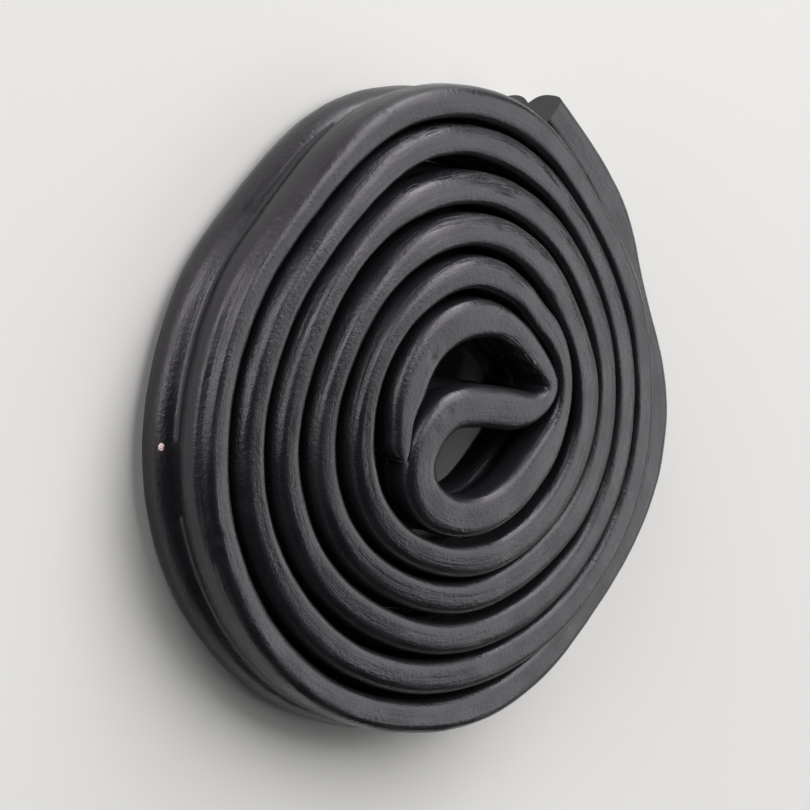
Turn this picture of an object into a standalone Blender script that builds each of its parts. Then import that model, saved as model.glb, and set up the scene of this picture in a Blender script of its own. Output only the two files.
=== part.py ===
# Licorice roll: one long soft lace, pressed with two round lobes one above the
# other, rolled up flat from a folded core outwards. The core was pushed up a
# little, so the roll has a low dome on top and a shallow hollow underneath.
#
# Frame: the roll lies flat on the plane z = 0, its axis along +Z. The origin is
# the middle of the outline on that plane.

import math

import bmesh
import bpy
import numpy as np

MM = 0.001

# Lace section. Upright, it is a dumbbell: an upper and a lower lobe and a web.
# The upper lobe is squarer than an ellipse from a little below its middle up.
LACE_HALF_WIDTH = 1.52 * MM
WIDE_HALF_WIDTH = 1.72 * MM
LOBE_HALF_HEIGHT = 1.95 * MM
LOBE_CENTRE = 1.83 * MM
INNER_SQUARENESS = 4.4
OUTER_SQUARENESS = 3.3
SQUARE_FROM_HEIGHT = (-0.25, 0.35)
INNER_WIDTH_SHARE = 0.95
OUTER_WIDTH_SHARE = 0.86
FLAT_FOOT_ANGLE = 245
UPPER_LOBE_ANGLES = (-56, -24, 4, 22, 40, 58, 78, 100, 125, 150, 178, 206, 236)
LOWER_LOBE_ANGLES = (
    124, 156, 188, 218, FLAT_FOOT_ANGLE, 540 - FLAT_FOOT_ANGLE, 322, 352, 24, 56)

# Rolled turns: the radius grows by the pitch each turn. The oval and the egg
# shape are the same on every turn, and the sideways shift fades outwards.
# Angles are counter-clockwise from +X, counted on from turn to turn.
PITCH = 3.37 * MM
START_RADIUS = 7.13 * MM
INNER_SHIFT = (-1.11 * MM, -0.16 * MM)
OUTER_SHIFT = (0.14 * MM, 0.0)
SHIFT_FADING = 1.5
OVAL = (0.56 * MM, -0.52 * MM)
EGG = (0.24 * MM, -0.42 * MM)
FIRST_TURN_ANGLE = 425.0
LAST_TURN_ANGLE = 2234.0
TURN_POINT_STEP = 15.0

# The outer turns are pressed in at the back right.
PRESSED_SIDE = 58.0
PRESSED_SIDE_SPAN = 20.0
PRESSED_DEPTH = 1.2 * MM
PRESSED_TURN_ANGLES = (1300.0, 1850.0)

# Places where the hand pressed the turns in: angle, span and depth. Where the
# depth is negative, the turn stands out.
HAND_PRESSED = tuple((angle, span, depth * MM) for angle, span, depth in (
    (450.0, 18.0, 0.3), (525.0, 24.0, -0.2), (685.0, 28.0, 1.0),
    (735.0, 20.0, -0.3), (917.0, 20.0, -0.25), (978.0, 24.0, 0.2),
    (1038.0, 26.0, 1.1), (1100.0, 24.0, -0.2), (1277.0, 20.0, -0.3),
    (1335.0, 22.0, 0.2), (1395.0, 26.0, 0.4), (1475.0, 26.0, 0.35),
    (1550.0, 22.0, -0.4), (1585.0, 18.0, 0.5), (1637.0, 20.0, -0.3),
    (1760.0, 30.0, 0.7), (1825.0, 30.0, 0.8), (1946.0, 17.0, 0.9),
    (1997.0, 20.0, -0.35), (2130.0, 22.0, 1.2), (2186.0, 17.0, 1.5)))

# Folded core, from the free end: up the left, over the top, a hairpin at the
# right, the bar back to the left, then round the lower hole and into the turns.
CORE_ROUTE = tuple((x * MM, y * MM) for x, y in (
    (-9.0, -4.5), (-9.5, -1.8), (-9.3, 1.7), (-7.9, 4.8), (-5.1, 7.0),
    (-1.6, 7.7), (1.4, 7.1), (4.0, 5.7), (5.9, 4.4), (6.8, 3.1), (6.0, 1.8),
    (4.1, 1.0), (1.3, 0.75), (-1.7, 0.5), (-4.4, -0.3), (-6.2, -2.2),
    (-6.8, -4.9), (-5.5, -7.2), (-2.7, -8.4), (1.0, -8.2), (4.2, -6.6),
    (6.6, -3.9), (8.3, -0.9), (8.9, 2.3), (8.0, 5.3), (5.7, 7.7)))

# Dome: how far the lace is lifted off the plane at a distance from its apex.
APEX = (-1.0 * MM, 1.1 * MM)
DOME_RADIUS = 26.0 * MM
DOME_TERMS = (9.06 * MM, -14.16 * MM, 5.03 * MM)
CORE_LIFT = 4.2 * MM
CORE_RIM_SOFTNESS = 0.5 * MM
SIDE_SLOPE = 0.029
SIDE_SLOPE_START = -26.0 * MM
SETTLING_ANGLES = (1890.0, 1990.0)

# The lace leans with the dome: its section is sheared by this share of the
# dome's slope, taken over a step to each side.
TILT_SHARE = 0.6
TILT_STEP = 1.5 * MM

# Outermost turn: its last part is squashed lower. Just before that, the lower
# lobe bulges out. On the left the free flank is fuller, most of all in that lobe.
LOW_PART_ANGLES = (2165.0, 2195.0)
LOW_PART_HEIGHT = 0.84
BULGE_DEPTH = 1.3 * MM
BULGE_ANGLE = 2162.0
BULGE_SPAN = 13.0
FLARE_DEPTH = 0.7 * MM
UPPER_FLARE_SHARE = 0.5
FLARE_ANGLE = 1985.0
FLARE_SPAN = 50.0

# At the back the lace leans: its lower lobe is tucked in, more on outer turns.
LEAN_DEPTH = 0.8 * MM
LEAN_SIDE = 95.0
LEAN_SIDE_SPAN = 35.0
LEAN_TURN_ANGLES = (800.0, 1800.0)

# Groove along the upper lobe's outer shoulder, on the left side of each turn.
TURN_START_ANGLES = (440.0, 480.0)
GROOVE_DEPTH = 0.12 * MM
GROOVE_SHOULDER_ANGLE = 40.0
GROOVE_HALF_ANGLE = 20.0
GROOVE_SIDE = 172.0
GROOVE_SIDE_SPAN = 62.0

# At the back and left of the inner turns the outer side is flattened.
SHOULDER_CUT = 0.4 * MM
SHOULDER_CUT_TURNS = (700.0, 1900.0)
SHOULDER_CUT_SIDE = 135.0
SHOULDER_CUT_SPAN = 80.0

# On the right side the turns are pressed tight, and so is the core. There the
# upper lobe spreads as wide as the lower one.
TIGHT_SIDE = 352.0
TIGHT_SIDE_SPAN = 70.0
TIGHT_CORE_ANGLES = (380.0, 440.0)

# Hairpin in the core: its inner side is pinched to a sharp notch.
FOLD_PLACE = (6.8 * MM, 3.1 * MM)
FOLD_PINCH = 0.35 * MM
FOLD_SPAN = 1.3 * MM

# Free end in the core: one side is cut away slantwise, and the tip is rounded.
TIP_NARROWING = 0.3
TIP_NARROW_RUN = (2.5 * MM, 6.0 * MM)
TIP_ROUNDING = 1.2 * MM
TIP_SCALE = 0.35

# Where two turns press together, both give way and this gap stays.
TURN_GAP = 0.2 * MM
NEIGHBOUR_APART = 7.0 * MM
FREE_END_RUN = 3.5 * MM
WIDTH_SMOOTHING = 3

# Stations along the lace: closer together where it bends more.
FINE_STEP = 0.4 * MM
CLOSEST_STATIONS = 0.85 * MM
WIDEST_STATIONS = 3.4 * MM
STATION_STEP_PER_RADIUS = 0.73 * MM

LICORICE_COLOUR = (0.012, 0.011, 0.013, 1.0)
LICORICE_ROUGHNESS = 0.42


def smooth_step(value, low, high):
    """Goes smoothly from 0 at low to 1 at high."""
    share = np.clip((value - low) / (high - low), 0.0, 1.0)
    return share * share * (3.0 - 2.0 * share)


def smooth_bump(value, centre, span):
    """A bell of height 1 at centre, about 0.37 at one span from it."""
    return np.exp(-((value - centre) / span) ** 2)


def turn_radius(angle):
    """Radius of the lace's middle on the rolled turns, at an angle in degrees."""
    around = math.radians(angle)
    inner = (LAST_TURN_ANGLE - angle) / (LAST_TURN_ANGLE - FIRST_TURN_ANGLE)
    inner = inner ** SHIFT_FADING
    shift_x = OUTER_SHIFT[0] + (INNER_SHIFT[0] - OUTER_SHIFT[0]) * inner
    shift_y = OUTER_SHIFT[1] + (INNER_SHIFT[1] - OUTER_SHIFT[1]) * inner
    radius = START_RADIUS + PITCH * angle / 360.0
    radius += shift_x * math.cos(around) + shift_y * math.sin(around)
    radius += OVAL[0] * math.cos(2 * around) + OVAL[1] * math.sin(2 * around)
    radius += EGG[0] * math.cos(3 * around) + EGG[1] * math.sin(3 * around)
    for place, span, depth in HAND_PRESSED:
        radius -= depth * smooth_bump(angle, place, span)
    pressed = PRESSED_DEPTH * smooth_step(angle, *PRESSED_TURN_ANGLES)
    return radius - pressed * smooth_bump(angle % 360.0, PRESSED_SIDE, PRESSED_SIDE_SPAN)


def route_points():
    """The lace's middle in plan: the core's own points, then the turns."""
    points = list(CORE_ROUTE)
    count = int(round((LAST_TURN_ANGLE - FIRST_TURN_ANGLE) / TURN_POINT_STEP))
    for angle in np.linspace(FIRST_TURN_ANGLE, LAST_TURN_ANGLE, count + 1):
        radius = turn_radius(angle)
        around = math.radians(angle)
        points.append((radius * math.cos(around), radius * math.sin(around)))
    return np.array(points)


def spline_through(knots, values, at):
    """Natural cubic spline through the values at the knots."""
    count = len(knots)
    gaps = np.diff(knots)
    slopes = np.diff(values, axis=0) / gaps[:, None]
    matrix = np.eye(count)
    right = np.zeros_like(values)
    for index in range(1, count - 1):
        matrix[index, index - 1] = gaps[index - 1]
        matrix[index, index] = 2.0 * (gaps[index - 1] + gaps[index])
        matrix[index, index + 1] = gaps[index]
        right[index] = 6.0 * (slopes[index] - slopes[index - 1])
    bends = np.linalg.solve(matrix, right)
    place = np.clip(np.searchsorted(knots, at, side="right") - 1, 0, count - 2)
    gap = gaps[place][:, None]
    after = (at - knots[place])[:, None]
    before = gap - after
    curve = bends[place] * before ** 3 + bends[place + 1] * after ** 3
    curve = curve / (6.0 * gap)
    curve += (values[place] / gap - bends[place] * gap / 6.0) * before
    curve += (values[place + 1] / gap - bends[place + 1] * gap / 6.0) * after
    return curve


def run_along(points):
    """Distance along a row of points, from its first point."""
    steps = np.hypot(*np.diff(points, axis=0).T)
    return np.concatenate(([0.0], np.cumsum(steps)))


def fine_route():
    """The smooth route, sampled evenly and closely."""
    points = route_points()
    knots = run_along(points)
    dense = spline_through(knots, points, np.arange(0.0, knots[-1], FINE_STEP / 4))
    run = run_along(dense)
    even = np.linspace(0.0, run[-1], int(run[-1] / FINE_STEP) + 1)
    return even, np.stack([np.interp(even, run, dense[:, axis]) for axis in (0, 1)], 1)


def path_angle(run, route):
    """Angle round the roll in degrees, counted on along the turns."""
    angle = np.degrees(np.unwrap(np.arctan2(route[:, 1], route[:, 0])))
    return angle + 360.0 * round((LAST_TURN_ANGLE - angle[-1]) / 360.0)


def lift_off_plane(route, angle):
    """Height of the lace's foot above the plane it lies on."""
    away = np.hypot(route[:, 0] - APEX[0], route[:, 1] - APEX[1]) / DOME_RADIUS
    dome = DOME_TERMS[0] + DOME_TERMS[1] * away + DOME_TERMS[2] * away ** 2
    rim = CORE_LIFT - dome
    dome = CORE_LIFT - 0.5 * (rim + np.sqrt(rim ** 2 + CORE_RIM_SOFTNESS ** 2))
    lift = np.maximum(dome, 0.0) + SIDE_SLOPE * (route[:, 0] - SIDE_SLOPE_START)
    return lift * (1.0 - smooth_step(angle, *SETTLING_ANGLES))


def sideways_tilt(route, ahead, angle):
    """How much the section rises per length outwards, to follow the dome."""
    step = TILT_STEP * np.column_stack((ahead[:, 1], -ahead[:, 0]))
    rise = lift_off_plane(route + step, angle) - lift_off_plane(route - step, angle)
    return TILT_SHARE * rise / (2 * TILT_STEP)


def pressed_half_width(run, route, widest):
    """Half width of the lace, less where a neighbouring turn is close."""
    half = np.full(len(run), widest)
    for index in range(len(run)):
        others = (np.abs(run - run[index]) > NEIGHBOUR_APART) & (run > FREE_END_RUN)
        nearest = np.min(np.hypot(*(route[others] - route[index]).T))
        half[index] = min(half[index], 0.5 * (nearest - TURN_GAP))
    reach = WIDTH_SMOOTHING
    lowest = [half[max(0, i - reach):i + reach + 1].min() for i in range(len(half))]
    padded = np.pad(lowest, reach, mode="edge")
    return np.convolve(padded, np.ones(2 * reach + 1) / (2 * reach + 1), mode="valid")


def station_runs(run, route):
    """Places along the route where the section is set, closer in bends."""
    ahead = np.gradient(route, run, axis=0)
    turning = np.hypot(*np.gradient(ahead, run, axis=0).T)
    radius = 1.0 / np.maximum(turning, 1.0)
    step = STATION_STEP_PER_RADIUS * np.sqrt(radius / MM)
    step = np.clip(step, CLOSEST_STATIONS, WIDEST_STATIONS)
    share = np.concatenate(([0.0], np.cumsum(np.diff(run) / step[1:])))
    count = int(math.ceil(share[-1]))
    return np.interp(np.linspace(0.0, share[-1], count + 1), share, run)


def tightness(turned):
    """1 in the core and on the right side of the turns, falling to 0 on the left."""
    from_tight_side = (turned - TIGHT_SIDE + 180.0) % 360.0 - 180.0
    on_side = smooth_bump(from_tight_side, 0.0, TIGHT_SIDE_SPAN)
    return max(on_side, 1.0 - smooth_step(turned, *TIGHT_CORE_ANGLES))


def upper_lobe(half_width, width_loss, turned):
    """The upper lobe's corners: outward, up and how far each is on the free side."""
    side = (turned % 360.0 - GROOVE_SIDE) / GROOVE_SIDE_SPAN
    groove = GROOVE_DEPTH * max(0.0, 1.0 - side ** 2)
    off_side = (turned % 360.0 - SHOULDER_CUT_SIDE) / SHOULDER_CUT_SPAN
    cut = SHOULDER_CUT * math.exp(-off_side ** 4)
    cut *= 1.0 - smooth_step(turned, *SHOULDER_CUT_TURNS)
    on_turns = smooth_step(turned, *TURN_START_ANGLES)
    corners = []
    for degrees in UPPER_LOBE_ANGLES:
        up = math.sin(math.radians(degrees))
        out = math.cos(math.radians(degrees))
        power = OUTER_SQUARENESS if out > 0.0 else INNER_SQUARENESS
        power = 2.0 + (power - 2.0) * smooth_step(up, *SQUARE_FROM_HEIGHT)
        fullness = (abs(out) ** power + abs(up) ** power) ** (-1.0 / power)
        depth = groove * smooth_bump(degrees, GROOVE_SHOULDER_ANGLE, GROOVE_HALF_ANGLE)
        reach = fullness - on_turns * depth / LACE_HALF_WIDTH
        share = OUTER_WIDTH_SHARE if out > 0.0 else INNER_WIDTH_SHARE
        share = 1.0 - (1.0 - share) * width_loss
        free_side = max(out, 0.0)
        across = half_width * share * out * reach - on_turns * cut * free_side
        corners.append((across, LOBE_CENTRE + LOBE_HALF_HEIGHT * up * reach, free_side))
    return corners


def lower_lobe(half_width):
    """The lower lobe's corners: outward, up and how far each is on the free side."""
    corners = []
    for degrees in LOWER_LOBE_ANGLES:
        up = math.sin(math.radians(degrees))
        out = math.cos(math.radians(degrees))
        corners.append((
            half_width * out, -LOBE_CENTRE + LOBE_HALF_HEIGHT * up, max(out, 0.0)))
    return corners


def section_at(turned, narrow, wide, tilt, pinch, tip_scale, cut_away):
    """Outline of the lace across its run: pairs of outward and up, from its foot."""
    foot = LOBE_CENTRE - LOBE_HALF_HEIGHT * math.sin(math.radians(FLAT_FOOT_ANGLE))
    tight = tightness(turned)
    width_loss = (1.0 - tight) * smooth_step(turned, *TURN_START_ANGLES)
    bulge = BULGE_DEPTH * smooth_bump(turned, BULGE_ANGLE, BULGE_SPAN)
    flare = FLARE_DEPTH * smooth_bump(turned, FLARE_ANGLE, FLARE_SPAN)
    lean = LEAN_DEPTH * smooth_step(turned, *LEAN_TURN_ANGLES)
    lean *= smooth_bump(turned % 360.0, LEAN_SIDE, LEAN_SIDE_SPAN)
    low = smooth_step(turned, *LOW_PART_ANGLES)
    upper_height = 1.0 + (LOW_PART_HEIGHT - 1.0) * low
    outline = []
    for across, height, free_side in upper_lobe(
            narrow + (wide - narrow) * tight, width_loss, turned):
        across += (UPPER_FLARE_SHARE * flare - pinch) * free_side
        outline.append((across, height * upper_height))
    for across, height, free_side in lower_lobe(wide):
        across += (flare + bulge - pinch) * free_side - lean
        outline.append((across, height))
    section = []
    for across, height in outline:
        across *= tip_scale * (1.0 - cut_away if across > 0.0 else 1.0)
        section.append((across, foot + height + tilt * across))
    return section


def stations():
    """Position, outward direction and section outline at each station."""
    run, route = fine_route()
    angle = path_angle(run, route)
    lift = lift_off_plane(route, angle)
    narrow = pressed_half_width(run, route, LACE_HALF_WIDTH)
    wide = pressed_half_width(run, route, WIDE_HALF_WIDTH)
    ahead = np.gradient(route, run, axis=0)
    ahead /= np.hypot(*ahead.T)[:, None]
    tilt = sideways_tilt(route, ahead, angle)
    result = []
    for place in station_runs(run, route):
        x, y, forward_x, forward_y, turned, height, leaning, least, most = (
            np.interp(place, run, values) for values in
            (route[:, 0], route[:, 1], ahead[:, 0], ahead[:, 1],
             angle, lift, tilt, narrow, wide))
        from_fold = math.hypot(x - FOLD_PLACE[0], y - FOLD_PLACE[1])
        pinch = FOLD_PINCH * smooth_bump(from_fold, 0.0, FOLD_SPAN)
        to_end = 1.0 - np.clip(place / TIP_ROUNDING, 0.0, 1.0)
        tip_scale = 1.0 - (1.0 - TIP_SCALE) * to_end ** 2
        cut_away = TIP_NARROWING * (1.0 - smooth_step(place, *TIP_NARROW_RUN))
        outline = section_at(turned, least, most, leaning, pinch, tip_scale, cut_away)
        result.append(((x, y, height), (forward_y, -forward_x), outline))
    return result


def lace_mesh(name):
    """The lace as one closed skin: a ring at each station, joined to the next."""
    shape = bmesh.new()
    rings = []
    for (x, y, height), (side_x, side_y), outline in stations():
        rings.append([
            shape.verts.new((x + side_x * out, y + side_y * out, height + up))
            for out, up in outline])
    count = len(rings[0])
    for near, far in zip(rings, rings[1:]):
        for index in range(count):
            after = (index + 1) % count
            shape.faces.new((near[index], near[after], far[after], far[index]))
    shape.faces.new(reversed(rings[0]))
    shape.faces.new(rings[-1])
    bmesh.ops.recalc_face_normals(shape, faces=shape.faces)
    bmesh.ops.triangulate(shape, faces=shape.faces)
    mesh = bpy.data.meshes.new(name)
    shape.to_mesh(mesh)
    shape.free()
    return mesh


def centre_on_outline(mesh):
    """Moves the mesh so that its outline's middle is over the origin."""
    corners = np.array([vertex.co for vertex in mesh.vertices])
    middle = (corners.min(axis=0) + corners.max(axis=0)) / 2.0
    for vertex in mesh.vertices:
        vertex.co.x -= middle[0]
        vertex.co.y -= middle[1]


def licorice_material():
    material = bpy.data.materials.new("black_licorice")
    material.use_nodes = True
    shader = material.node_tree.nodes["Principled BSDF"]
    shader.inputs["Base Color"].default_value = LICORICE_COLOUR
    shader.inputs["Roughness"].default_value = LICORICE_ROUGHNESS
    shader.inputs["Metallic"].default_value = 0.0
    return material


def make_licorice_roll():
    mesh = lace_mesh("licorice_roll")
    centre_on_outline(mesh)
    mesh.materials.append(licorice_material())
    mesh.shade_smooth()
    mesh.set_sharp_from_angle(angle=math.radians(50))
    roll = bpy.data.objects.new("licorice_roll", mesh)
    bpy.context.scene.collection.objects.link(roll)
    return roll


def clear_scene():
    for item in list(bpy.data.objects):
        bpy.data.objects.remove(item, do_unlink=True)


clear_scene()
make_licorice_roll()
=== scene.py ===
# %% [markdown]
# # A licorice roll
# The real sweet is one long black lace. A nozzle presses it out as two round
# strings joined along their side, and it is rolled up standing on its edge, from
# a folded core outwards. Here the same is done: an outline, a straight lace, its
# unevenness, and then the rolling up. First the imported model is loaded; further
# down its roll is hidden and the lace made here is shown instead.

# %% Imported model
import math

import bmesh
import bpy
import numpy as np
from mathutils import Matrix, Vector, noise


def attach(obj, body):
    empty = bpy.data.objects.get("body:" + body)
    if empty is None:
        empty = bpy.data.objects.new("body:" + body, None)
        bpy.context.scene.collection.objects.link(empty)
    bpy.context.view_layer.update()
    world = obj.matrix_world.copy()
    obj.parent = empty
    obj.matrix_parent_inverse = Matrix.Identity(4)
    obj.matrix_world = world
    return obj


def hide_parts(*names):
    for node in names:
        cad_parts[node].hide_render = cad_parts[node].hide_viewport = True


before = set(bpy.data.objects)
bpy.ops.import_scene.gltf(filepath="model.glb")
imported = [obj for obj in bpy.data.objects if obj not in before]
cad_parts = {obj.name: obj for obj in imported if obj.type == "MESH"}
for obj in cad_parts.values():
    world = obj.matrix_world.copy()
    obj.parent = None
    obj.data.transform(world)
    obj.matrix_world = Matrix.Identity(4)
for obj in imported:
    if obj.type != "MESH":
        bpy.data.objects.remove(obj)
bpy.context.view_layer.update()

MM = 0.001

# %% [markdown]
# ## Where the lace runs
# Seen from above, the lace makes five turns round a folded core. The radius grows
# by one pitch each turn. The core has a free end, an arc over the top, a hairpin
# and a bar that curls round a hole. Hands pressed the soft turns in at some places
# and let them swell out at others. Each such place is an angle and a span in
# degrees and a depth in mm, where a depth below zero swells out. A hand-drawn curve
# could do the same, but a rule keeps the turns evenly apart where nobody pressed
# them.

# %% Sizes of the turns
PITCH = 3.37 * MM
START_RADIUS = 7.13 * MM
INNER_SHIFT = (-1.11 * MM, -0.16 * MM)
OUTER_SHIFT = (0.14 * MM, 0.0)
SHIFT_FADING = 1.5
OVAL = (0.56 * MM, -0.52 * MM)
EGG = (0.24 * MM, -0.42 * MM)
FIRST_TURN_ANGLE = 425.0
LAST_TURN_ANGLE = 2234.0
TURN_POINT_STEP = 15.0
PRESSED_SIDE = 58.0
PRESSED_SIDE_SPAN = 20.0
PRESSED_DEPTH = 1.2 * MM
PRESSED_TURN_ANGLES = (1300.0, 1850.0)
HAND_PRESSED = tuple((angle, span, depth * MM) for angle, span, depth in (
    (450.0, 18.0, 0.3), (525.0, 24.0, -0.2), (685.0, 28.0, 1.0),
    (735.0, 20.0, -0.3), (917.0, 20.0, -0.25), (978.0, 24.0, 0.2),
    (1038.0, 26.0, 1.1), (1100.0, 24.0, -0.2), (1277.0, 20.0, -0.3),
    (1335.0, 22.0, 0.2), (1395.0, 26.0, 0.4), (1475.0, 26.0, 0.35),
    (1550.0, 22.0, -0.4), (1585.0, 18.0, 0.5), (1637.0, 20.0, -0.3),
    (1760.0, 30.0, 0.7), (1825.0, 30.0, 0.8), (1946.0, 17.0, 0.9),
    (1997.0, 20.0, -0.35), (2130.0, 22.0, 1.2), (2186.0, 17.0, 1.5)))
CORE_ROUTE = tuple((x * MM, y * MM) for x, y in (
    (-9.0, -4.5), (-9.5, -1.8), (-9.3, 1.7), (-7.9, 4.8), (-5.1, 7.0),
    (-1.6, 7.7), (1.4, 7.1), (4.0, 5.7), (5.9, 4.4), (6.8, 3.1), (6.0, 1.8),
    (4.1, 1.0), (1.3, 0.75), (-1.7, 0.5), (-4.4, -0.3), (-6.2, -2.2),
    (-6.8, -4.9), (-5.5, -7.2), (-2.7, -8.4), (1.0, -8.2), (4.2, -6.6),
    (6.6, -3.9), (8.3, -0.9), (8.9, 2.3), (8.0, 5.3), (5.7, 7.7)))


def smooth_step(value, low, high):
    """Goes smoothly from 0 at low to 1 at high."""
    share = np.clip((value - low) / (high - low), 0.0, 1.0)
    return share * share * (3.0 - 2.0 * share)


def smooth_bump(value, centre, span):
    """A bell of height 1 at centre, about 0.37 at one span from it."""
    return np.exp(-((value - centre) / span) ** 2)


def turn_radius(angle):
    """Radius of the lace's middle on the rolled turns, at an angle in degrees."""
    around = math.radians(angle)
    inner = (LAST_TURN_ANGLE - angle) / (LAST_TURN_ANGLE - FIRST_TURN_ANGLE)
    inner = inner ** SHIFT_FADING
    shift_x = OUTER_SHIFT[0] + (INNER_SHIFT[0] - OUTER_SHIFT[0]) * inner
    shift_y = OUTER_SHIFT[1] + (INNER_SHIFT[1] - OUTER_SHIFT[1]) * inner
    radius = START_RADIUS + PITCH * angle / 360.0
    radius += shift_x * math.cos(around) + shift_y * math.sin(around)
    radius += OVAL[0] * math.cos(2 * around) + OVAL[1] * math.sin(2 * around)
    radius += EGG[0] * math.cos(3 * around) + EGG[1] * math.sin(3 * around)
    for place, span, depth in HAND_PRESSED:
        radius -= depth * smooth_bump(angle, place, span)
    pressed = PRESSED_DEPTH * smooth_step(angle, *PRESSED_TURN_ANGLES)
    return radius - pressed * smooth_bump(angle % 360.0, PRESSED_SIDE, PRESSED_SIDE_SPAN)


def route_points():
    """The lace's middle in plan: the core's own points, then the turns."""
    points = list(CORE_ROUTE)
    count = int(round((LAST_TURN_ANGLE - FIRST_TURN_ANGLE) / TURN_POINT_STEP))
    for angle in np.linspace(FIRST_TURN_ANGLE, LAST_TURN_ANGLE, count + 1):
        radius = turn_radius(angle)
        around = math.radians(angle)
        points.append((radius * math.cos(around), radius * math.sin(around)))
    return np.array(points)


print("route points:", len(route_points()))

# %% [markdown]
# ## A smooth way through the points
# Licorice bends without corners, so a natural cubic spline is laid through the
# points. It is then sampled again at one even, short step, because every later
# rule walks along it. A Bezier curve would need its handles set at each point.

# %% Smooth route
FINE_STEP = 0.4 * MM


def spline_through(knots, values, at):
    """Natural cubic spline through the values at the knots."""
    count = len(knots)
    gaps = np.diff(knots)
    slopes = np.diff(values, axis=0) / gaps[:, None]
    matrix = np.eye(count)
    right = np.zeros_like(values)
    for index in range(1, count - 1):
        matrix[index, index - 1] = gaps[index - 1]
        matrix[index, index] = 2.0 * (gaps[index - 1] + gaps[index])
        matrix[index, index + 1] = gaps[index]
        right[index] = 6.0 * (slopes[index] - slopes[index - 1])
    bends = np.linalg.solve(matrix, right)
    place = np.clip(np.searchsorted(knots, at, side="right") - 1, 0, count - 2)
    gap = gaps[place][:, None]
    after = (at - knots[place])[:, None]
    before = gap - after
    curve = bends[place] * before ** 3 + bends[place + 1] * after ** 3
    curve = curve / (6.0 * gap)
    curve += (values[place] / gap - bends[place] * gap / 6.0) * before
    curve += (values[place + 1] / gap - bends[place + 1] * gap / 6.0) * after
    return curve


def run_along(points):
    """Distance along a row of points, from its first point."""
    steps = np.linalg.norm(np.diff(points, axis=0), axis=1)
    return np.concatenate(([0.0], np.cumsum(steps)))


def fine_route():
    """The smooth route in plan, sampled evenly and closely."""
    points = route_points()
    knots = run_along(points)
    dense = spline_through(knots, points, np.arange(0.0, knots[-1], FINE_STEP / 4))
    run = run_along(dense)
    even = np.linspace(0.0, run[-1], int(run[-1] / FINE_STEP) + 1)
    return even, np.stack([np.interp(even, run, dense[:, axis]) for axis in (0, 1)], 1)


run, route = fine_route()
turned = np.degrees(np.unwrap(np.arctan2(route[:, 1], route[:, 0])))
turned += 360.0 * round((LAST_TURN_ANGLE - turned[-1]) / 360.0)
print("lace length, mm:", round(run[-1] / MM, 1))

# %% [markdown]
# ## How high the lace stands
# The core was pushed up a little, so the turns step down from it like a low dome,
# and the whole roll climbs slightly towards +X. Only the outermost turn lies flat
# on the table. One formula gives each place of the route its lift, from its
# distance to the dome's top. The same formula says how much the lace tilts
# sideways there.

# %% Lift of the turns
APEX = (-1.0 * MM, 1.1 * MM)
DOME_RADIUS = 26.0 * MM
DOME_TERMS = (9.06 * MM, -14.16 * MM, 5.03 * MM)
CORE_LIFT = 4.2 * MM
CORE_RIM_SOFTNESS = 0.5 * MM
LACE_WIDTH_STEP = 1.5 * MM
TILT_SHARE = 0.6
SIDE_SLOPE = 0.029
SIDE_SLOPE_START = -26.0 * MM
SETTLING_ANGLES = (1890.0, 1990.0)
OUTLINE_MIDDLE = (1.288 * MM, -0.115 * MM)


def lift_at(places):
    """Lift of the lace at these places of the route."""
    away = np.hypot(places[:, 0] - APEX[0], places[:, 1] - APEX[1]) / DOME_RADIUS
    dome = DOME_TERMS[0] + DOME_TERMS[1] * away + DOME_TERMS[2] * away ** 2
    rim = CORE_LIFT - dome
    dome = CORE_LIFT - 0.5 * (rim + np.sqrt(rim ** 2 + CORE_RIM_SOFTNESS ** 2))
    lift = np.maximum(dome, 0.0) + SIDE_SLOPE * (places[:, 0] - SIDE_SLOPE_START)
    return lift * (1.0 - smooth_step(turned, *SETTLING_ANGLES))


lift = lift_at(route)
ahead = np.gradient(route, run, axis=0)
ahead /= np.linalg.norm(ahead, axis=1)[:, None]
side_step = np.column_stack((ahead[:, 1], -ahead[:, 0])) * LACE_WIDTH_STEP
side_tilt = (lift_at(route + side_step) - lift_at(route - side_step)) / (2 * LACE_WIDTH_STEP)
side_tilt *= TILT_SHARE
guide = np.column_stack((
    route[:, 0] - OUTLINE_MIDDLE[0], route[:, 1] - OUTLINE_MIDDLE[1], lift))
guide_run = run_along(guide)
print("highest lift, mm:", round(lift.max() / MM, 2))
print("length with the climb, mm:", round(guide_run[-1] / MM, 1))

# %% [markdown]
# ## Outline of the lace
# Cut across, the lace is a standing figure eight: two soft rounds, one above the
# other, joined by a narrow web. Two circles are added standing up, stretched a
# little in height, opened where they face each other and joined there. Drawing
# the outline point by point would give the same, but circles stay truly round.
# The lace lies along X, its outer side is towards -Y.

# %% Standing figure eight
LACE_HALF_WIDTH = 1.52 * MM
LOBE_HALF_HEIGHT = 1.95 * MM
LOBE_CENTRE = 1.83 * MM
LOBE_POINTS = 32
WEB_ANGLE = 57.0
WEB_OVERLAP = 2.0
FOOT_ANGLE = 65.0
FOOT_LEVEL = -LOBE_CENTRE - LOBE_HALF_HEIGHT * math.sin(math.radians(FOOT_ANGLE))


def clear_selection():
    """Leaves edit mode and deselects every object."""
    if bpy.context.object and bpy.context.object.mode != "OBJECT":
        bpy.ops.object.mode_set(mode="OBJECT")
    bpy.ops.object.select_all(action="DESELECT")


def select_only(*pieces):
    """Selects these objects alone; the first is the active one."""
    clear_selection()
    for piece in pieces:
        piece.select_set(True)
    bpy.context.view_layer.objects.active = pieces[0]


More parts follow.
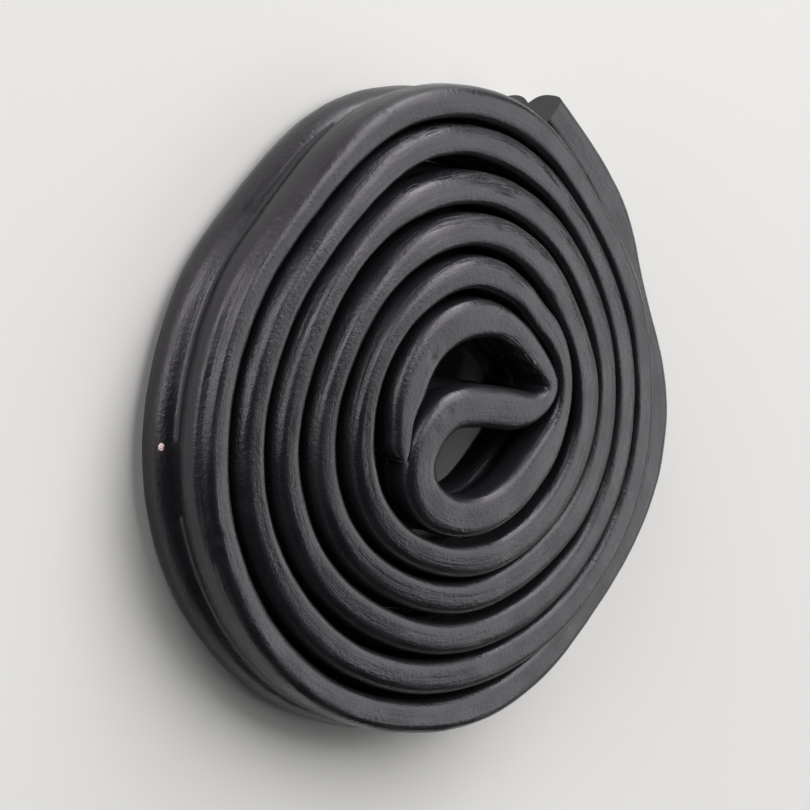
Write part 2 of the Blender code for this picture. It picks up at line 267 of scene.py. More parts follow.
def pick_points(chosen):
    """In edit mode, selects just the points whose place passes the test."""
    bpy.ops.mesh.select_mode(type="VERT")
    bpy.ops.mesh.select_all(action="DESELECT")
    mesh = bpy.context.edit_object.data
    shape = bmesh.from_edit_mesh(mesh)
    for point in shape.verts:
        point.select = bool(chosen(point.co))
    shape.select_flush(True)
    bmesh.update_edit_mesh(mesh)


def standing_lobe(name, height, side):
    """An open round, standing across X, whose gap faces down (1) or up (-1)."""
    clear_selection()
    bpy.ops.mesh.primitive_circle_add(
        vertices=LOBE_POINTS, radius=LACE_HALF_WIDTH, location=(0.0, 0.0, height),
        rotation=(math.pi / 2, 0.0, math.pi / 2))
    lobe = bpy.context.object
    lobe.name = name
    bpy.ops.object.transform_apply(location=True, rotation=True, scale=True)
    bpy.ops.object.mode_set(mode="EDIT")
    bpy.ops.mesh.select_all(action="SELECT")
    bpy.ops.transform.resize(
        value=(1.0, 1.0, LOBE_HALF_HEIGHT / LACE_HALF_WIDTH),
        center_override=(0.0, 0.0, height))
    gap_level = LOBE_HALF_HEIGHT * math.sin(math.radians(WEB_ANGLE))
    pick_points(lambda place: side * (place.z - height) < -gap_level)
    bpy.ops.mesh.delete(type="VERT")
    bpy.ops.object.mode_set(mode="OBJECT")
    return lobe


upper_lobe = standing_lobe("licorice_lace", LOBE_CENTRE, 1)
lower_lobe = standing_lobe("lower_lobe", -LOBE_CENTRE, -1)
select_only(upper_lobe, lower_lobe)
bpy.ops.object.join()
lace = bpy.context.object
bpy.ops.object.mode_set(mode="EDIT")
web_rise = LOBE_HALF_HEIGHT * math.sin(math.radians(WEB_ANGLE - WEB_OVERLAP))
web_level = LOBE_CENTRE - web_rise
for across in (-1, 1):
    pick_points(lambda place: abs(place.z) < web_level and across * place.y > 0)
    bpy.ops.mesh.edge_face_add()
bpy.ops.object.mode_set(mode="OBJECT")
print("outline points:", len(lace.data.vertices), "edges:", len(lace.data.edges))

# %% [markdown]
# ## The straight lace
# The real lace leaves its nozzle straight. The outline is extruded one short
# slice, and an Array modifier repeats the slice and welds each copy to the next.
# A long extrude with loop cuts would need hundreds of steps by hand. The slices
# stay short, so that the lace can be bent and dented everywhere.

# %% Slices along the lace
SLICE_COUNT = 1760
lace_length = guide_run[-1]
slice_length = lace_length / SLICE_COUNT

select_only(lace)
bpy.ops.object.mode_set(mode="EDIT")
bpy.ops.mesh.select_all(action="SELECT")
bpy.ops.mesh.extrude_region_move(
    TRANSFORM_OT_translate={"value": (slice_length, 0.0, 0.0)})
bpy.ops.object.mode_set(mode="OBJECT")
repeat = lace.modifiers.new("slices", "ARRAY")
repeat.count = SLICE_COUNT
repeat.use_relative_offset = False
repeat.use_constant_offset = True
repeat.constant_offset_displace = (slice_length, 0.0, 0.0)
repeat.use_merge_vertices = True
repeat.merge_threshold = 0.01 * MM
bpy.ops.object.modifier_apply(modifier="slices")
print("straight lace:", len(lace.data.vertices), "points,", len(lace.data.polygons), "faces")

# %% [markdown]
# ## Its two ends
# A blade cut the lace, and a cut through soft licorice keeps a small rim and sinks
# a little in the middle. Each open end is capped with one face and inset twice,
# the second time inwards. A boolean cut would leave a perfectly flat end.

# %% Closed ends
END_RIM = 0.18 * MM
END_SINK = 0.1 * MM
END_REACH = 0.3


def close_end(at):
    """Caps the open end at this length, with a small rim and a sunken middle."""
    pick_points(lambda place: abs(place.x - at) < END_REACH * slice_length)
    bpy.ops.mesh.edge_face_add()
    bpy.ops.mesh.inset(thickness=END_RIM, depth=0.0)
    bpy.ops.mesh.inset(thickness=END_RIM, depth=-END_SINK)


select_only(lace)
bpy.ops.object.mode_set(mode="EDIT")
close_end(0.0)
close_end(lace_length)
bpy.ops.mesh.select_all(action="SELECT")
bpy.ops.mesh.normals_make_consistent(inside=False)
bpy.ops.object.mode_set(mode="OBJECT")
print("with ends:", len(lace.data.polygons), "faces")

# %% [markdown]
# ## Points of the lace
# From here the lace is shaped by rules that hold for its whole length, such as
# how flat it is pressed between two turns. A hand would use proportional editing
# for each place. A rule that moves every point by where it lies gives the same
# with no steps between places, so these cells read all points, move them and
# write them back. Each point keeps its straight place as an attribute, because
# the fine streaks of the surface follow the lace and not the table.

# %% Straight places kept
def read_points(piece):
    """All points of a piece as rows of x, y, z."""
    flat = np.empty(len(piece.data.vertices) * 3)
    piece.data.vertices.foreach_get("co", flat)
    return flat.reshape(-1, 3)


def write_points(piece, points):
    """Moves all points of a piece to these places."""
    piece.data.vertices.foreach_set("co", points.ravel())
    piece.data.update()


straight = read_points(lace)
kept_places = lace.data.attributes.new("lace_place", "FLOAT_VECTOR", "POINT")
kept_places.data.foreach_set("vector", (straight / MM).ravel())

length_at = np.clip(straight[:, 0], 0.0, lace_length)
plan_at = np.interp(length_at, guide_run, run)
side_tilt_at = np.interp(length_at, guide_run, side_tilt)
turned_at = np.interp(length_at, guide_run, turned)
route_x_at = np.interp(length_at, guide_run, route[:, 0])
route_y_at = np.interp(length_at, guide_run, route[:, 1])
is_upper = straight[:, 2] > 0.0
lobe_middle = np.where(is_upper, LOBE_CENTRE, -LOBE_CENTRE)
lobe_angle = np.degrees(np.arctan2(
    (straight[:, 2] - lobe_middle) / LOBE_HALF_HEIGHT, -straight[:, 1] / LACE_HALF_WIDTH))
print("turns run from", round(turned_at.min()), "to", round(turned_at.max()), "degrees")

# %% [markdown]
# ## Pressed between its neighbours
# Where two turns touch, both give way and keep a fine dark gap between them. The
# distance to the next turn is measured along the route, and the lace is made as
# wide as that allows. On the +X side and round the core it is squeezed hardest, so
# it is wider there and its gaps are finer. The free inner end is slack and presses
# on nothing. At the hairpin the inner side is pinched to a sharp notch.

# %% Widths
TURN_GAP = 0.2 * MM
TIGHT_HALF_WIDTH = 1.72 * MM
TIGHT_GAP = 0.06 * MM
TIGHT_SIDE = 12.0
TIGHT_SIDE_SPAN = 85.0
TIGHT_CORE_ANGLES = (380.0, 440.0)
LOWER_HALF_WIDTH = 1.72 * MM
LOWER_GAP = 0.03 * MM
NEIGHBOUR_APART = 7.0 * MM
FREE_END_RUN = 3.5 * MM
WIDTH_SMOOTHING = 3
FOLD_PLACE = (6.8 * MM, 3.1 * MM)
FOLD_PINCH = 0.35 * MM
FOLD_SPAN = 1.3 * MM


def pressed_half_width(widest, gap):
    """Half width along the route, less where a neighbouring turn is close."""
    half = np.full(len(run), widest)
    for index in range(len(run)):
        others = (np.abs(run - run[index]) > NEIGHBOUR_APART) & (run > FREE_END_RUN)
        nearest = np.min(np.hypot(*(route[others] - route[index]).T))
        half[index] = min(half[index], 0.5 * (nearest - gap))
    reach = WIDTH_SMOOTHING
    lowest = [half[max(0, i - reach):i + reach + 1].min() for i in range(len(half))]
    padded = np.pad(lowest, reach, mode="edge")
    return np.convolve(padded, np.ones(2 * reach + 1) / (2 * reach + 1), mode="valid")


loose_half_at = np.interp(plan_at, run, pressed_half_width(LACE_HALF_WIDTH, TURN_GAP))
tight_half_at = np.interp(plan_at, run, pressed_half_width(TIGHT_HALF_WIDTH, TIGHT_GAP))
from_tight_side = (turned_at - TIGHT_SIDE + 180.0) % 360.0 - 180.0
tight = smooth_bump(from_tight_side, 0.0, TIGHT_SIDE_SPAN)
tight = np.maximum(tight, 1.0 - smooth_step(turned_at, *TIGHT_CORE_ANGLES))
half_at = loose_half_at + (tight_half_at - loose_half_at) * tight
lower_half_at = np.interp(plan_at, run, pressed_half_width(LOWER_HALF_WIDTH, LOWER_GAP))
from_fold = np.hypot(route_x_at - FOLD_PLACE[0], route_y_at - FOLD_PLACE[1])
pinch_at = FOLD_PINCH * smooth_bump(from_fold, 0.0, FOLD_SPAN)
print("half width from", round(half_at.min() / MM, 2), "to", round(half_at.max() / MM, 2))

# %% [markdown]
# ## Squashed, leaning and grooved
# The outermost turn has its lower lobe bulging out near the end, is lower at the
# end itself, and has a fuller flank on the -X side. On the +Y side the lower lobe
# of the outer turns is tucked in. On the -X side a groove runs along the outer
# shoulder of each turn, where the lace was pulled in the bend. Each of these is a
# depth that fades in and out along the lace, as a soft brush would press it.

# %% Depths along the lace
LOW_PART_ANGLES = (2165.0, 2195.0)
LOW_PART_HEIGHT = 0.84
BULGE_DEPTH = 1.3 * MM
BULGE_ANGLE = 2162.0
BULGE_SPAN = 13.0
FLARE_DEPTH = 0.7 * MM
FLARE_ANGLE = 1985.0
FLARE_SPAN = 50.0
LEAN_DEPTH = 0.8 * MM
LEAN_SIDE = 95.0
LEAN_SIDE_SPAN = 35.0
LEAN_TURN_ANGLES = (800.0, 1800.0)
GROOVE_DEPTH = 0.19 * MM
GROOVE_SHOULDER_ANGLE = 40.0
GROOVE_HALF_ANGLE = 16.0
GROOVE_SIDE = 172.0
GROOVE_SIDE_SPAN = 62.0
GROOVE_START_ANGLES = (440.0, 480.0)
OUTER_GROOVE_DEPTH = 0.38 * MM
OUTER_GROOVE_ANGLE = 1980.0
OUTER_GROOVE_SPAN = 28.0

on_turns = smooth_step(turned_at, *GROOVE_START_ANGLES)
off_groove = (turned_at % 360.0 - GROOVE_SIDE) / GROOVE_SIDE_SPAN
groove = GROOVE_DEPTH + OUTER_GROOVE_DEPTH * smooth_bump(
    turned_at, OUTER_GROOVE_ANGLE, OUTER_GROOVE_SPAN)
groove *= on_turns
groove *= np.maximum(0.0, 1.0 - off_groove ** 2)
groove *= smooth_bump(lobe_angle, GROOVE_SHOULDER_ANGLE, GROOVE_HALF_ANGLE)
bulge = BULGE_DEPTH * smooth_bump(turned_at, BULGE_ANGLE, BULGE_SPAN)
flare = FLARE_DEPTH * smooth_bump(turned_at, FLARE_ANGLE, FLARE_SPAN)
lean = LEAN_DEPTH * smooth_step(turned_at, *LEAN_TURN_ANGLES)
lean *= smooth_bump(turned_at % 360.0, LEAN_SIDE, LEAN_SIDE_SPAN)
low_part = smooth_step(turned_at, *LOW_PART_ANGLES)
upper_height = 1.0 + (LOW_PART_HEIGHT - 1.0) * low_part
print("deepest groove, mm:", round(groove.max() / MM, 2))

# %% [markdown]
# ## Shoulders and the free inner end
# Squeezed licorice is squarer than a round, so the top of the upper lobe gets a
# higher power, most of all where it is squeezed hardest. Elsewhere the upper lobe
# is a little narrower than the lower one, and on the -X side its outer shoulder is
# drawn in. The free inner end is narrower and rounded off. A bevel could square
# the lobe as well, but not by a share that changes along the lace.

# %% Section of the lace at each place
INNER_WIDTH_SHARE = 0.95
OUTER_WIDTH_SHARE = 0.86
SHOULDER_CUT = 0.40 * MM
SHOULDER_CUT_TURNS = (700.0, 1900.0)
SHOULDER_CUT_SIDE = 158.0
SHOULDER_CUT_SPAN = 62.0
SHOULDER_CUT_HEIGHT = (-0.95, -0.6)
INNER_SQUARENESS = 4.4
OUTER_SQUARENESS = 3.3
TIGHT_SQUARENESS = 5.2
SQUARE_FROM_HEIGHT = (-0.25, 0.35)
UPPER_FLARE_SHARE = 0.5
TIP_NARROWING = 0.3
TIP_NARROW_RUN = (2.5 * MM, 6.0 * MM)
TIP_ROUNDING = 1.2 * MM
TIP_SCALE = 0.35

outward = -straight[:, 1] / LACE_HALF_WIDTH
upward = (straight[:, 2] - lobe_middle) / LOBE_HALF_HEIGHT
free_side = np.maximum(outward, 0.0)
power = np.where(outward > 0.0, OUTER_SQUARENESS, INNER_SQUARENESS)
power += (TIGHT_SQUARENESS - power) * tight
power = 2.0 + (power - 2.0) * smooth_step(upward, *SQUARE_FROM_HEIGHT)
fullness = (np.abs(outward) ** power + np.abs(upward) ** power) ** (-1.0 / power)
inset = fullness - groove / LACE_HALF_WIDTH
width_share = np.where(outward > 0.0, OUTER_WIDTH_SHARE, INNER_WIDTH_SHARE)
width_share = 1.0 + (width_share - 1.0) * on_turns * (1.0 - tight) * smooth_step(
    upward, *SHOULDER_CUT_HEIGHT)
off_cut = (turned_at % 360.0 - SHOULDER_CUT_SIDE) / SHOULDER_CUT_SPAN
cut = SHOULDER_CUT * np.exp(-off_cut ** 4) * on_turns
cut *= smooth_step(upward, *SHOULDER_CUT_HEIGHT)
cut *= 1.0 - smooth_step(turned_at, *SHOULDER_CUT_TURNS)
upper_across = half_at * width_share * outward * inset
upper_across += (UPPER_FLARE_SHARE * flare - pinch_at - cut) * free_side
upper_level = (LOBE_CENTRE + LOBE_HALF_HEIGHT * upward * inset) * upper_height
lower_across = lower_half_at * outward + (flare + bulge - pinch_at) * free_side - lean
lower_level = np.maximum(-LOBE_CENTRE + LOBE_HALF_HEIGHT * upward, FOOT_LEVEL)
narrowed = TIP_NARROWING * (1.0 - smooth_step(plan_at, *TIP_NARROW_RUN))
to_end = 1.0 - np.clip(plan_at / TIP_ROUNDING, 0.0, 1.0)
tip_scale = 1.0 - (1.0 - TIP_SCALE) * to_end ** 2
across = np.where(is_upper, upper_across, lower_across) * tip_scale
across *= 1.0 - narrowed * (outward > 0.0)
level = np.where(is_upper, upper_level, lower_level) - FOOT_LEVEL
level += side_tilt_at * across
print("lace height, mm:", round(level.max() / MM, 2))

# %% [markdown]
# ## Small unevenness
# Soft licorice is never quite even. It swells and thins a little along its length,
# and the surface is slightly lumpy. Smooth noise that is stretched along the lace
# gives the slow swelling. The noise is read at the straight place of each point,
# so it flows with the lace.

# %% Swelling and lumps
SWELL_SIZE = (9.0 * MM, 3.0 * MM, 3.0 * MM)
SWELL_DEPTH = 0.09 * MM
SWELL_SEED = 3.7
LUMP_SIZE = (2.2 * MM, 1.1 * MM, 1.1 * MM)
LUMP_DEPTH = 0.035 * MM
LUMP_SEED = 11.3


def soft_noise(stretch, seed):
    """Smooth noise between about -1 and 1 at each point, stretched by three lengths."""
    scaled = straight / np.array(stretch) + seed
    return np.array([noise.noise(Vector(place)) for place in scaled])


swell = SWELL_DEPTH * soft_noise(SWELL_SIZE, SWELL_SEED)
swell += LUMP_DEPTH * soft_noise(LUMP_SIZE, LUMP_SEED)
print("unevenness, mm:", round(swell.min() / MM, 3), "to", round(swell.max() / MM, 3))

# %% [markdown]
# ## Nicks and the torn rim
# The lace was pulled over a table and rolled by hand, so it has a few nicks and
# cuts, and the rim inside the hairpin is torn. They could be sculpted with a brush.
# Here each is a soft hollow: its place along the lace in mm, its place round the
# lobe in degrees, its half length in mm, its span round the lobe in degrees, and
# its depth in mm, where a depth below zero is a small lump. The torn rim is rough
# noise that fades out around the hairpin. What touches the table stays flat.

# %% Nicks
NICKS = (
    (8.8, 78.0, 0.25, 8.0, 0.30), (17.2, 118.0, 0.5, 12.0, 0.25),
    (39.6, 73.0, 0.25, 8.0, 0.25), (41.5, 82.0, 0.25, 7.0, 0.20),
    (80.8, 53.0, 0.8, 9.0, 0.20), (156.5, 140.0, 0.7, 9.0, 0.20),
    (159.3, 60.0, 0.7, 8.0, 0.25), (164.5, 62.0, 0.5, 9.0, 0.25),
    (168.5, 46.0, 1.4, 8.0, 0.22), (267.0, 80.0, 1.2, 7.0, 0.18),
    (269.5, 66.0, 1.9, 7.0, 0.22), (273.0, 40.0, 1.7, 9.0, 0.22),
    (548.8, 56.0, 0.3, 22.0, -0.10), (588.0, 56.0, 0.4, 11.0, 0.35),
    (589.6, 50.0, 0.3, 9.0, 0.30))
TORN_RUN = 23.6 * MM
TORN_SPAN = 3.2 * MM
TORN_LOBE_ANGLE = 38.0
TORN_LOBE_SPAN = 26.0
TORN_GRAIN = (0.55 * MM, 0.55 * MM, 0.55 * MM)
TORN_DEPTH = 0.55 * MM
TORN_SEED = 5.1
GROUNDED_LEVEL = 0.3 * MM

for place, lobe_place, half_length, lobe_span, depth in NICKS:
    hollow = depth * MM * smooth_bump(plan_at, place * MM, half_length * MM)
    swell -= hollow * smooth_bump(lobe_angle, lobe_place, lobe_span) * is_upper
torn = smooth_bump(plan_at, TORN_RUN, TORN_SPAN)
torn *= smooth_bump(lobe_angle, TORN_LOBE_ANGLE, TORN_LOBE_SPAN) * is_upper
swell += TORN_DEPTH * torn * soft_noise(TORN_GRAIN, TORN_SEED)
grounded = (level < GROUNDED_LEVEL) & (turned_at > SETTLING_ANGLES[0])
swell[grounded] = 0.0
across += swell * outward
level += swell * upward
write_points(lace, np.column_stack((straight[:, 0], -across, level)))
print("nicks:", len(NICKS), "deepest, mm:", round(-swell.min() / MM, 2))

# %% [markdown]
# ## Where the shoulder is rubbed
# On the +Y side the outer shoulders of the inner turns are rubbed and finely
# scratched, and so is the torn rim. How much is kept with each point, and the
# material draws the scratches from it. Painting it on would need a picture.

# %% Rubbed shoulders
RUBBED_SIDE = 68.0
RUBBED_SIDE_SPAN = 42.0
RUBBED_LOBE_ANGLE = 50.0
RUBBED_LOBE_SPAN = 20.0
RUBBED_TURNS = (440.0, 1640.0)

from_rubbed_side = (turned_at - RUBBED_SIDE + 180.0) % 360.0 - 180.0
rubbed = smooth_bump(from_rubbed_side, 0.0, RUBBED_SIDE_SPAN) * is_upper
rubbed *= smooth_bump(lobe_angle, RUBBED_LOBE_ANGLE, RUBBED_LOBE_SPAN)
rubbed *= (turned_at > RUBBED_TURNS[0]) & (turned_at < RUBBED_TURNS[1])
rubbed = np.maximum(rubbed, torn)
kept_rubbing = lace.data.attributes.new("rubbed", "FLOAT", "POINT")
kept_rubbing.data.foreach_set("value", rubbed)
print("rubbed points:", int((rubbed > 0.5).sum()))

# %% [markdown]
# ## Rolling up
# Now the lace is rolled up. The points of the route become a chain of edges, the
# chain is converted to a curve, and a Curve modifier bends the lace along it. The
# curve keeps Z up, so the lace stands on its edge all the way, as the real one.
# A curve that comes out with its far end first is turned round.

# %% Guide curve and bend
SMOOTH_ANGLE = 75.0


def guide_curve():
    """The route as a curve that keeps Z up."""
    clear_selection()
    mesh = bpy.data.meshes.new("route")
    chain = [(index, index + 1) for index in range(len(guide) - 1)]
    mesh.from_pydata([tuple(place) for place in guide], chain, [])
    line = bpy.data.objects.new("route", mesh)
    bpy.context.scene.collection.objects.link(line)
    select_only(line)
    bpy.ops.object.convert(target="CURVE")
    line = bpy.context.object
    line.data.dimensions = "3D"
    line.data.twist_mode = "Z_UP"
    line.data.use_deform_bounds = False
    return line


line = guide_curve()
start = line.data.splines[0].points[0].co.xyz
if (start - Vector(guide[0])).length > FINE_STEP:
    select_only(line)
    bpy.ops.object.mode_set(mode="EDIT")
    bpy.ops.curve.select_all(action="SELECT")
    bpy.ops.curve.switch_direction()
    bpy.ops.object.mode_set(mode="OBJECT")
select_only(lace)
rolling = lace.modifiers.new("rolled_up", "CURVE")
rolling.object = line
rolling.deform_axis = "POS_X"
bpy.ops.object.modifier_apply(modifier="rolled_up")
bpy.data.objects.remove(line, do_unlink=True)
bpy.ops.object.shade_smooth_by_angle(angle=math.radians(SMOOTH_ANGLE))
rolled = read_points(lace)
print("rolled up, mm:", np.round(np.ptp(rolled, axis=0) / MM, 2))
print("foot at, mm:", round(rolled[:, 2].min() / MM, 3))

# %% [markdown]
# ## Noise and relief for a surface
# A surface like licorice is a few layers of noise, and each layer needs the same
# few nodes. They could be added by hand in the shader editor. These small
# functions add them, so that the material below reads as a list of its layers.

# %% Helpers for materials
def add_node(tree, kind, **inputs):
    """Adds a node and sets its inputs by name."""
    node = tree.nodes.new(kind)
    for name, value in inputs.items():
        node.inputs[name].default_value = value
    return node


def stretched_noise(tree, stretch, detail):
    """Noise that follows the kept straight places, stretched along the lace."""
    place = tree.nodes.new("ShaderNodeAttribute")
    place.attribute_name = "lace_place"
    mapping = add_node(tree, "ShaderNodeMapping", Scale=stretch)
    tree.links.new(place.outputs["Vector"], mapping.inputs["Vector"])
    texture = add_node(tree, "ShaderNodeTexNoise", Scale=1.0, Detail=detail, Roughness=0.6)
    tree.links.new(mapping.outputs["Vector"], texture.inputs["Vector"])
    return texture.outputs["Fac"]


def solid_noise(tree, scale, roughness):
    """Noise on the object's own coordinates."""
    where = tree.nodes.new("ShaderNodeTexCoord")
    texture = add_node(
        tree, "ShaderNodeTexNoise", Scale=scale, Detail=3.0, Roughness=roughness)
    tree.links.new(where.outputs["Object"], texture.inputs["Vector"])
    return texture.outputs["Fac"]


def mapped(tree, value, limits, results):
    """A value that runs between two limits, turned into a run between two results."""
    node = tree.nodes.new("ShaderNodeMapRange")
    node.inputs["From Min"].default_value = limits[0]
    node.inputs["From Max"].default_value = limits[1]
    node.inputs["To Min"].default_value = results[0]
    node.inputs["To Max"].default_value = results[1]
    tree.links.new(value, node.inputs["Value"])
    return node.outputs["Result"]


def relief(tree, height, strength, depth, below):
    """A bump from a height, laid over the relief below it, if there is one."""
    node = add_node(tree, "ShaderNodeBump", Strength=strength, Distance=depth)
    tree.links.new(height, node.inputs["Height"])
    if below:
        tree.links.new(below.outputs["Normal"], node.inputs["Normal"])
    return node


def plain_material(name, colour, dullness):
    """A material of one colour and one roughness."""
    material = bpy.data.materials.new(name)
    material.use_nodes = True
    shader = material.node_tree.nodes["Principled BSDF"]
    shader.inputs["Base Color"].default_value = colour
    shader.inputs["Roughness"].default_value = dullness
    return material


print("materials so far:", len(bpy.data.materials))

# %% [markdown]
# ## Black licorice
# Black licorice is almost black with a hint of purple and has a soft satin gloss.
# Its surface shows fine streaks along the lace from the nozzle, a fine grain, and
# patches that are a little duller. The streaks follow the kept straight places, and
# grain and patches lie on the object's own coordinates. Finer and deeper scratches
# show only where the lace is rubbed.

# %% Licorice material
LICORICE_BLACK = (0.0064, 0.0054, 0.0074, 1.0)
LICORICE_WORN = (0.0142, 0.0130, 0.0156, 1.0)
LICORICE_SHEEN = (0.98, 0.94, 1.0, 1.0)
LICORICE_GLOSS = 0.6
PATCH_SCALE = 260.0
PATCH_RANGE = (0.35, 0.65)
PATCH_ROUGHNESS = (0.25, 0.40)
STREAK_STRETCH = (0.12, 2.4, 2.4)
STREAK_DEPTH = 0.08 * MM
GRAIN_SCALE = 2600.0
GRAIN_DEPTH = 0.07 * MM
SCRATCH_STRETCH = (0.4, 4.5, 4.5)
SCRATCH_RANGE = (0.53, 0.63)
SCRATCH_DEPTH = 0.2 * MM


def licorice_material():
    """Satin black licorice with streaks, grain, duller patches and scratches."""
    material = bpy.data.materials.new("black_licorice_surface")
    material.use_nodes = True
    tree = material.node_tree
    link = tree.links.new
    shader = tree.nodes["Principled BSDF"]
    shader.inputs["Specular IOR Level"].default_value = LICORICE_GLOSS
    shader.inputs["Specular Tint"].default_value = LICORICE_SHEEN
    streaks = stretched_noise(tree, STREAK_STRETCH, 4.0)
    grain = solid_noise(tree, GRAIN_SCALE, 0.65)
    patches = solid_noise(tree, PATCH_SCALE, 0.5)
    link(mapped(tree, patches, PATCH_RANGE, PATCH_ROUGHNESS), shader.inputs["Roughness"])

    colour = tree.nodes.new("ShaderNodeMix")
    colour.data_type = "RGBA"
    colour.inputs["A"].default_value = LICORICE_BLACK
    colour.inputs["B"].default_value = LICORICE_WORN
    link(streaks, colour.inputs["Factor"])
    link(colour.outputs["Result"], shader.inputs["Base Color"])

    scratches = stretched_noise(tree, SCRATCH_STRETCH, 3.0)
    rubbed_place = tree.nodes.new("ShaderNodeAttribute")
    rubbed_place.attribute_name = "rubbed"
    scratched = tree.nodes.new("ShaderNodeMath")
    scratched.operation = "MULTIPLY"
    link(mapped(tree, scratches, SCRATCH_RANGE, (0.0, 1.0)), scratched.inputs[0])
    link(rubbed_place.outputs["Fac"], scratched.inputs[1])

    streak_relief = relief(tree, streaks, 0.6, STREAK_DEPTH, None)
    grain_relief = relief(tree, grain, 0.65, GRAIN_DEPTH, streak_relief)
    cut_relief = relief(tree, scratched.outputs["Value"], 1.0, SCRATCH_DEPTH, grain_relief)
    cut_relief.invert = True
    link(cut_relief.outputs["Normal"], shader.inputs["Normal"])
    return material


lace.data.materials.clear()
lace.data.materials.append(licorice_material())
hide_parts("licorice_roll")
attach(lace, "root")

# %% [markdown]
# ## A crumb
# A small pinkish white crumb of another sweet sticks to the free flank of the
# outermost turn. It is a little ball, squeezed longer and broken up, half sunk in
# the soft licorice. The lace's own points say where its surface is.

# %% Crumb
CRUMB_RADIUS = 0.24 * MM
CRUMB_RUN = 581.5 * MM
CRUMB_LOBE_ANGLE = 34.0
CRUMB_SHAPE = (0.8, 1.3, 0.9)
CRUMB_BROKEN = 0.05 * MM
CRUMB_PINK = (0.72, 0.55, 0.52, 1.0)
CRUMB_DULLNESS = 0.6

off_place = np.abs(plan_at - CRUMB_RUN) / MM + np.abs(lobe_angle - CRUMB_LOBE_ANGLE)
crumb_place = Vector(rolled[np.argmin(np.where(is_upper, np.inf, off_place))])
clear_selection()
bpy.ops.mesh.primitive_ico_sphere_add(
    subdivisions=3, radius=CRUMB_RADIUS, location=crumb_place)
crumb = bpy.context.object
crumb.name = "sugar_crumb"
bpy.ops.object.transform_apply(location=True, rotation=True, scale=True)
bpy.ops.object.mode_set(mode="EDIT")
bpy.ops.mesh.select_all(action="SELECT")
bpy.ops.transform.resize(value=CRUMB_SHAPE, center_override=crumb_place)
bpy.ops.transform.vertex_random(offset=CRUMB_BROKEN, uniform=0.6, normal=0.4, seed=4)
bpy.ops.object.mode_set(mode="OBJECT")
crumb.data.materials.append(plain_material("pink_sugar", CRUMB_PINK, CRUMB_DULLNESS))
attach(crumb, "root")
print("crumb at, mm:", [round(value / MM, 2) for value in crumb_place])

# %% [markdown]
# ## Floor and sky
# The roll is shown alone on a plain pale floor. The sky gives next to no light,
# which keeps the deep gaps black. Past the floor's edge it is seen as a plain pale
# wall. A real wall would throw light back into the gaps.

# %% Floor and sky
FLOOR_SIZE = 1.8
FLOOR_COLOUR = (0.68, 0.67, 0.655, 1.0)
FLOOR_DULLNESS = 0.9
WALL_COLOUR = (0.78, 0.775, 0.76, 1.0)
SKY_COLOUR = (0.9, 0.93, 1.0, 1.0)
SKY_STRENGTH = 0.01

clear_selection()
bpy.ops.mesh.primitive_plane_add(size=FLOOR_SIZE, location=(0.0, 0.0, 0.0))
floor = bpy.context.object
floor.name = "pale_floor"
floor.data.materials.append(plain_material("pale_paper", FLOOR_COLOUR, FLOOR_DULLNESS))

sky = bpy.data.worlds.new("weak_sky")
sky.use_nodes = True
sky_tree = sky.node_tree
sky_link = sky_tree.links.new
weak_light = sky_tree.nodes["Background"]
weak_light.inputs["Color"].default_value = SKY_COLOUR
weak_light.inputs["Strength"].default_value = SKY_STRENGTH
pale_wall = add_node(sky_tree, "ShaderNodeBackground", Color=WALL_COLOUR)
ray_kind = sky_tree.nodes.new("ShaderNodeLightPath")
seen_or_lit = sky_tree.nodes.new("ShaderNodeMixShader")
sky_link(ray_kind.outputs["Is Camera Ray"], seen_or_lit.inputs["Fac"])
sky_link(weak_light.outputs["Background"], seen_or_lit.inputs[1])
sky_link(pale_wall.outputs["Background"], seen_or_lit.inputs[2])
sky_link(seen_or_lit.outputs["Shader"], sky_tree.nodes["World Output"].inputs["Surface"])
bpy.context.scene.world = sky
bpy.context.scene.view_settings.view_transform = "Standard"
print("floor, m:", FLOOR_SIZE, "and a sky of strength", SKY_STRENGTH)

# %% [markdown]
# ## Soft lights
# Two lights from the +Y side, one high and one low, give the long satin sheen on
# the turns. Weaker ones from the left and the right draw thin highlights on the
# flanks. Each is a large square panel one metre away that faces the roll. A small
# bright lamp would draw hard white lines on the licorice. Each has a direction, a
# size in metres and a power in watts.

# %% Soft lights
LIGHT_DISTANCE = 1.0


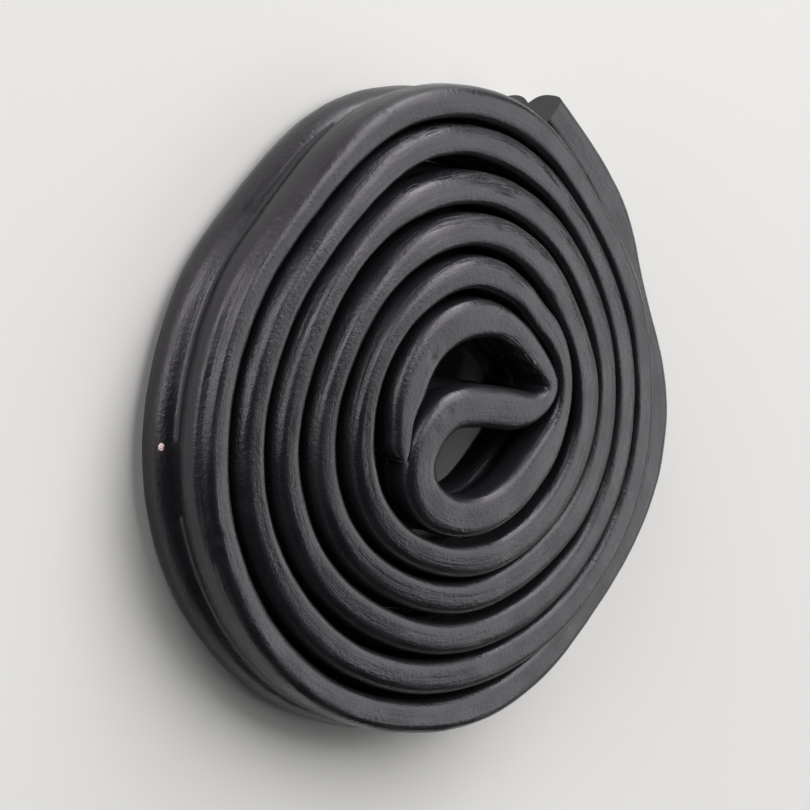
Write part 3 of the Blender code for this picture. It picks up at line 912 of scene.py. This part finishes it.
def soft_light(name, towards, size, power):
    """A square soft light that faces the roll from a direction."""
    data = bpy.data.lights.new(name, "AREA")
    data.shape = "SQUARE"
    data.size = size
    data.energy = power
    lamp = bpy.data.objects.new(name, data)
    bpy.context.scene.collection.objects.link(lamp)
    direction = Vector(towards).normalized()
    lamp.location = direction * LIGHT_DISTANCE
    lamp.rotation_mode = "QUATERNION"
    lamp.rotation_quaternion = direction.to_track_quat("Z", "Y")


soft_light("window_light", (0.14, 0.60, 0.79), 0.9, 10.4)
soft_light("low_window_light", (0.18, 0.95, 0.25), 0.55, 5.6)
soft_light("left_light", (-0.81, 0.46, 0.35), 0.55, 4.2)
soft_light("low_left_light", (-0.99, 0.0, 0.11), 0.5, 3.2)
soft_light("right_light", (0.80, 0.09, 0.59), 0.8, 3.8)

# %% [markdown]
# ## Camera
# The camera looks at the roll from the same side and height as the photograph,
# turned the same way, and from the same distance, closer in on the roll.

# %% Camera at the photograph's angle
CORE_TOP_HEIGHT = 10.95 * MM
CORE_TOP = Vector((-OUTLINE_MIDDLE[0], -OUTLINE_MIDDLE[1], CORE_TOP_HEIGHT))
CAMERA_DISTANCE = 0.42
TO_CAMERA = Vector((-0.7627, 0.0, 0.6468))
IMAGE_RIGHT = Vector((0.6358, 0.1836, 0.7497))
PHOTO_LENS = 109.8
CLOSER = 2.1
FRAME_SHIFT = (-0.0922, 0.0116)
CLIP_START = 0.01
CLIP_END = 10.0

camera_data = bpy.data.cameras.new("camera")
camera_data.lens = PHOTO_LENS * CLOSER
camera_data.shift_x = FRAME_SHIFT[0]
camera_data.shift_y = FRAME_SHIFT[1]
camera_data.clip_start = CLIP_START
camera_data.clip_end = CLIP_END
camera = bpy.data.objects.new("camera", camera_data)
bpy.context.scene.collection.objects.link(camera)
back = TO_CAMERA.normalized()
up = back.cross(IMAGE_RIGHT.normalized()).normalized()
right = up.cross(back)
turn = Matrix((right, up, back)).transposed()
camera.matrix_world = Matrix.Translation(CORE_TOP + CAMERA_DISTANCE * back) @ turn.to_4x4()
bpy.context.scene.camera = camera
print("camera, mm:", [round(value / MM) for value in camera.location])
